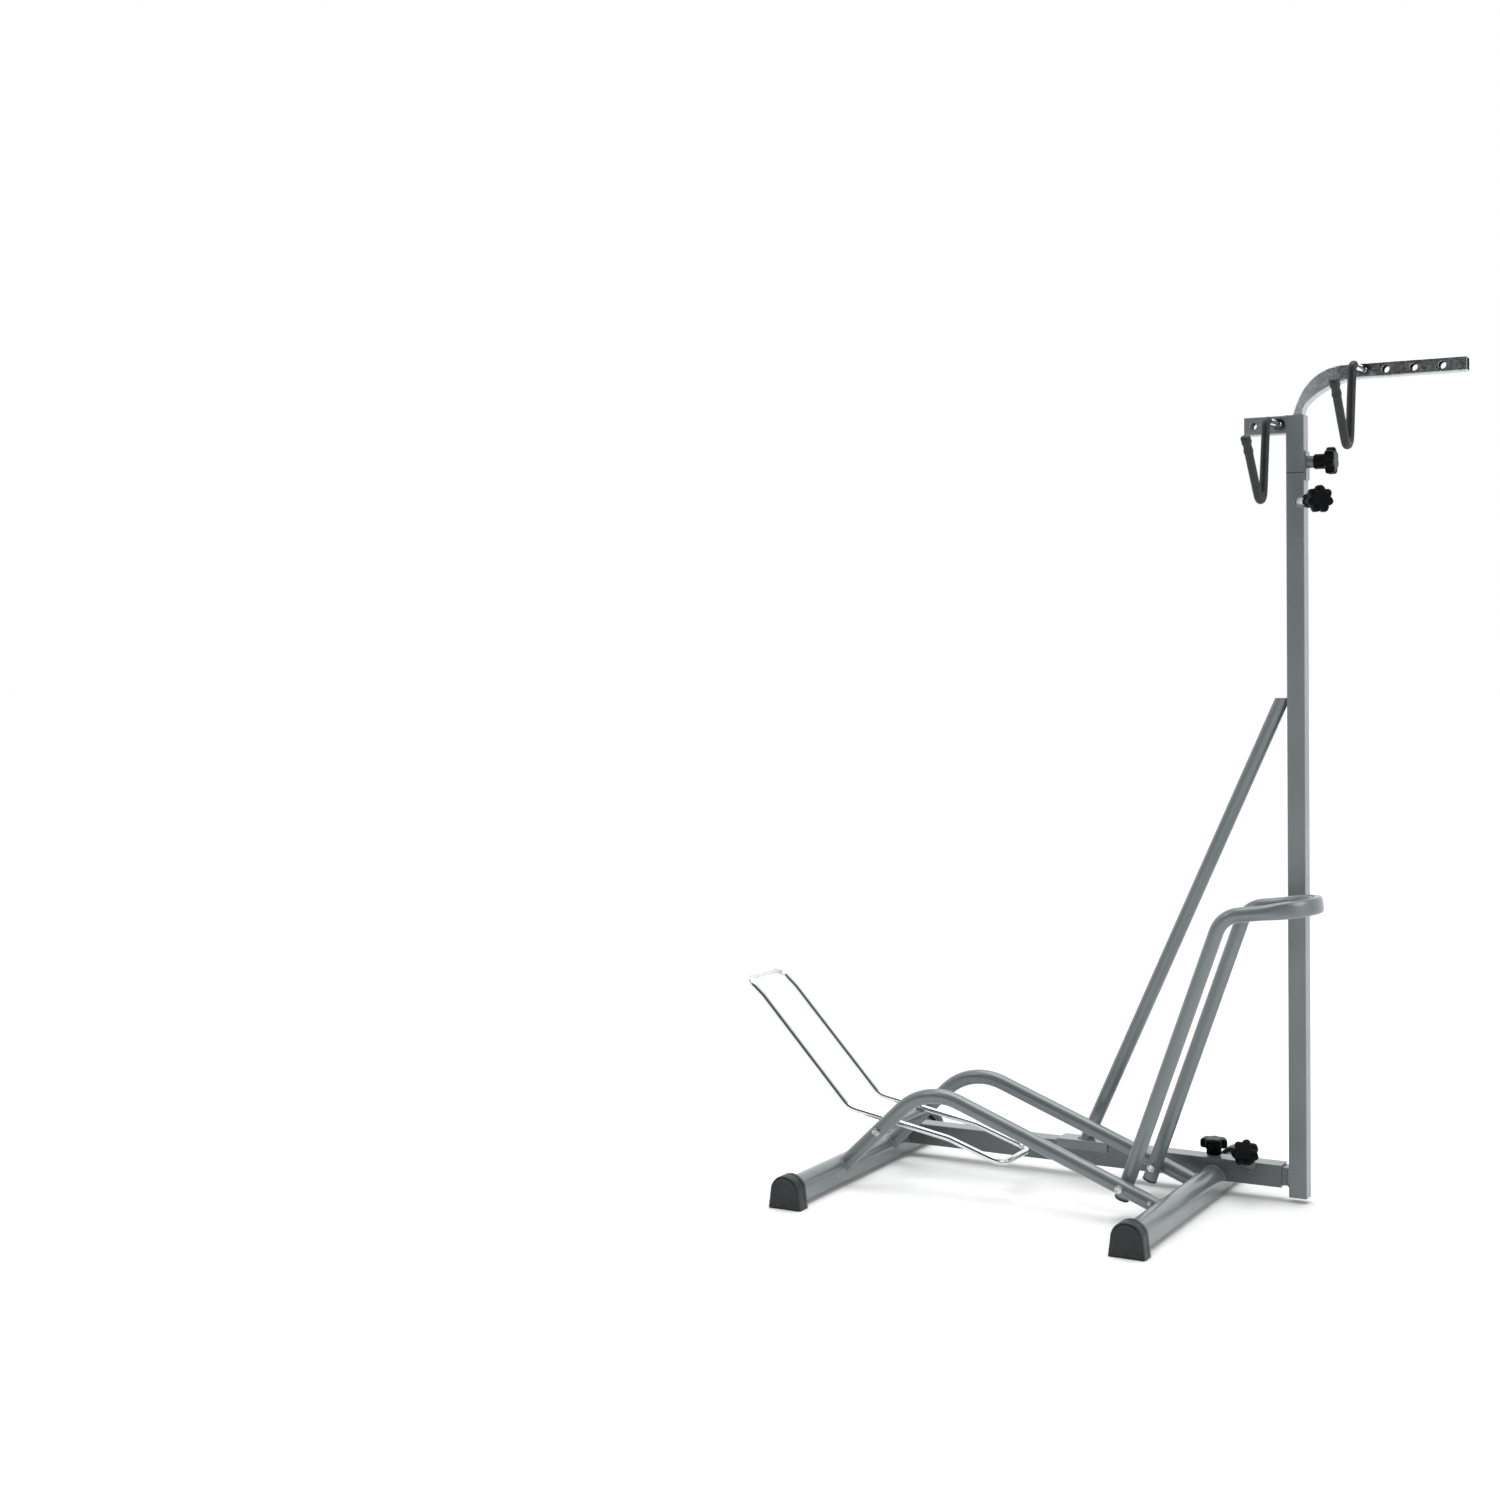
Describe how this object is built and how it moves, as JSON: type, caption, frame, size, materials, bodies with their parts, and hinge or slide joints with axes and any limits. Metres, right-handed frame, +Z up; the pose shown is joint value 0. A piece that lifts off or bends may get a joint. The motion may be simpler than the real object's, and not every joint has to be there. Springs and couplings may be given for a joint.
{
  "type": "bicycle floor stand",
  "caption": "Floor stand for one bicycle: a base with arched tubes, tilting wire cradle and folding hoop grips the rear wheel; a telescopic post carries frame hooks.",
  "frame": {"origin": "on the floor, under the middle of the whole stand at rest", "axes": "+X along the wheel towards the post and the level arm, +Y towards the beam and the post, +Z up"},
  "size_m": [0.8144, 0.394, 0.9342],
  "materials": {
    "frame_grey": "satin",
    "galvanised": "satin",
    "chrome": "gloss",
    "zinc": "satin",
    "black_plastic": "matte",
    "knob_plastic": "gloss",
    "hook_rubber": "matte"
  },
  "bodies": {
    "base": {"left_foot": "frame_grey", "right_foot": "frame_grey", "left_near_cap": "black_plastic", "left_far_cap": "black_plastic", "right_near_cap": "black_plastic", "right_far_cap": "black_plastic", "beam": "frame_grey", "beam_plug": "black_plastic", "beam_top_nut": "frame_grey", "beam_edge_nut": "frame_grey", "near_side_tube": "frame_grey", "far_side_tube": "frame_grey", "side_rivets": "zinc", "hoop_bolts": "zinc", "hoop_nuts": "zinc", "rocker_bolt": "zinc", "rocker_nut": "zinc"},
    "post_frame": {"stub": "frame_grey", "stub_plug": "black_plastic", "post": "frame_grey", "post_plug": "black_plastic", "post_nut": "zinc", "brace": "frame_grey", "brace_saddle": "frame_grey", "saddle_screws": "zinc"},
    "mast": {"mast": "galvanised"},
    "sleeve": {"sleeve": "frame_grey", "sleeve_bracket": "frame_grey", "sleeve_pad": "frame_grey", "sleeve_nut": "frame_grey"},
    "left_hook": {"left_hook": "chrome", "left_hook_rubber": "hook_rubber", "left_hook_nuts": "zinc"},
    "right_hook": {"right_hook": "chrome", "right_hook_rubber": "hook_rubber", "right_hook_nuts": "zinc"},
    "hoop": {"hoop": "frame_grey", "hoop_plugs": "black_plastic"},
    "rocker": {"rocker_wire": "chrome", "rocker_tube": "frame_grey"},
    "beam_top_stud": {"beam_top_stud": "zinc"},
    "beam_top_knob": {"beam_top_knob": "knob_plastic"},
    "beam_edge_stud": {"beam_edge_stud": "zinc"},
    "beam_edge_knob": {"beam_edge_knob": "knob_plastic"},
    "post_stud": {"post_stud": "zinc"},
    "post_knob": {"post_knob": "knob_plastic"},
    "sleeve_stud": {"sleeve_stud": "zinc"},
    "sleeve_knob": {"sleeve_knob": "knob_plastic"}
  },
  "joints": [
    {"name": "rocker_tilt", "type": "hinge", "parent": "base", "child": "rocker", "pos_m": [-0.21645, 0, 0.067], "axis": [0, -1, 0], "range_deg": [-12, 50]},
    {"name": "hoop_fold", "type": "hinge", "parent": "base", "child": "hoop", "pos_m": [0.07475, 0, 0.0367], "axis": [0, 1, 0], "range_deg": [-30, 64]},
    {"name": "post_reach", "type": "slide", "parent": "base", "child": "post_frame", "axis": [1, 0, 0], "range_m": [0, 0.08]},
    {"name": "mast_lift", "type": "slide", "parent": "post_frame", "child": "mast", "axis": [0, 0, 1], "range_m": [0, 0.35]},
    {"name": "sleeve_lift", "type": "slide", "parent": "post_frame", "child": "sleeve", "axis": [0, 0, 1], "range_m": [0, 0.176]},
    {"name": "left_hook_turn", "type": "hinge", "parent": "sleeve", "child": "left_hook", "pos_m": [0.20545, 0.1101, 0.8715], "axis": [0, 1, 0], "range_deg": [-45, 45]},
    {"name": "right_hook_turn", "type": "hinge", "parent": "mast", "child": "right_hook", "pos_m": [0.29925, 0.1101, 0.9262], "axis": [0, 1, 0], "range_deg": [-45, 45]},
    {"name": "beam_top_stud_slide", "type": "slide", "parent": "base", "child": "beam_top_stud", "axis": [0, 0, 1], "range_m": [0, 0.0025]},
    {"name": "beam_top_knob_turn", "type": "hinge", "parent": "beam_top_stud", "child": "beam_top_knob", "pos_m": [0.12395, 0.1101, 0.041], "axis": [0, 0, 1], "range_deg": [0, 720]},
    {"name": "beam_edge_stud_slide", "type": "slide", "parent": "base", "child": "beam_edge_stud", "axis": [0, -0.7071, 0.7071], "range_m": [0, 0.0025]},
    {"name": "beam_edge_knob_turn", "type": "hinge", "parent": "beam_edge_stud", "child": "beam_edge_knob", "pos_m": [0.16755, 0.0976, 0.041], "axis": [0, -0.7071, 0.7071], "range_deg": [0, 720]},
    {"name": "post_stud_slide", "type": "slide", "parent": "post_frame", "child": "post_stud", "axis": [0.7071, -0.7071, 0], "range_m": [0, 0.0025]},
    {"name": "post_knob_turn", "type": "hinge", "parent": "post_stud", "child": "post_knob", "pos_m": [0.23235, 0.1001, 0.7846], "axis": [0.7071, -0.7071, 0], "range_deg": [0, 720]},
    {"name": "sleeve_stud_slide", "type": "slide", "parent": "sleeve", "child": "sleeve_stud", "axis": [1, 0, 0], "range_m": [0, 0.0025]},
    {"name": "sleeve_knob_turn", "type": "hinge", "parent": "sleeve_stud", "child": "sleeve_knob", "pos_m": [0.23235, 0.1101, 0.829], "axis": [1, 0, 0], "range_deg": [0, 720]}
  ],
  "couplings": [
    {"joint": "sleeve_lift", "follows": "mast_lift", "ratio": 0.5},
    {"joint": "beam_top_knob_turn", "follows": "beam_top_stud_slide", "rad_per_m": 5026.5},
    {"joint": "beam_edge_knob_turn", "follows": "beam_edge_stud_slide", "rad_per_m": 5026.5},
    {"joint": "post_knob_turn", "follows": "post_stud_slide", "rad_per_m": 5026.5},
    {"joint": "sleeve_knob_turn", "follows": "sleeve_stud_slide", "rad_per_m": 5026.5}
  ]
}
